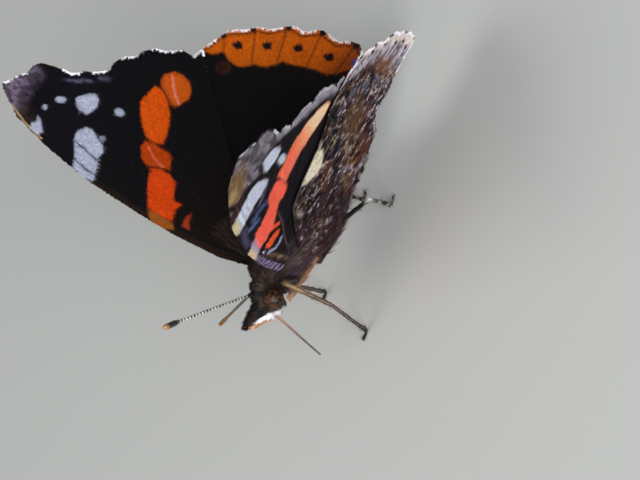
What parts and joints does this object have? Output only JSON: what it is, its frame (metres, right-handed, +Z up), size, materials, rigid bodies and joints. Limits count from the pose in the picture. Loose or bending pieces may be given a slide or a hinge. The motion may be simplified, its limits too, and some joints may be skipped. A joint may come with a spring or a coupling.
{
  "type": "butterfly",
  "caption": "Life-size still model of a red admiral standing with its wings half open, tongue down and feelers spread.",
  "frame": {"origin": "on the floor, under the middle of the butterfly's box", "axes": "+Z up, the head looks toward -Y, +X is the butterfly's left side"},
  "size_m": [0.0482, 0.0294, 0.0275],
  "materials": {
    "fur": "matte, long dark brown hair",
    "palp": "matte, tan hair with a white band",
    "eye": "satin brown with dark mottling",
    "tongue": "satin",
    "feeler": "satin black with white rings and tan tips",
    "wing": "velvety scales, black brown with orange-red bands and white marks",
    "leg": "satin dark brown, tan on the middle pair"
  },
  "bodies": {
    "root": {"head": "fur", "thorax": "fur", "abdomen": "fur", "palp_left": "palp", "palp_right": "palp", "foreleg_left": "palp", "foreleg_right": "palp", "eye_left": "eye", "eye_right": "eye", "proboscis": "tongue", "antenna_left": "feeler", "antenna_right": "feeler", "antenna_club_left": "feeler", "antenna_club_right": "feeler", "forewing_left": "wing", "forewing_right": "wing", "hindwing_left": "wing", "hindwing_right": "wing", "femur_mid_left": "leg", "femur_mid_right": "leg", "femur_hind_left": "leg", "femur_hind_right": "leg", "tibia_mid_left": "leg", "tibia_mid_right": "leg", "tibia_hind_left": "leg", "tibia_hind_right": "leg", "tarsus_mid_left": "leg", "tarsus_mid_right": "leg", "tarsus_hind_left": "leg", "tarsus_hind_right": "leg"}
  },
  "joints": []
}
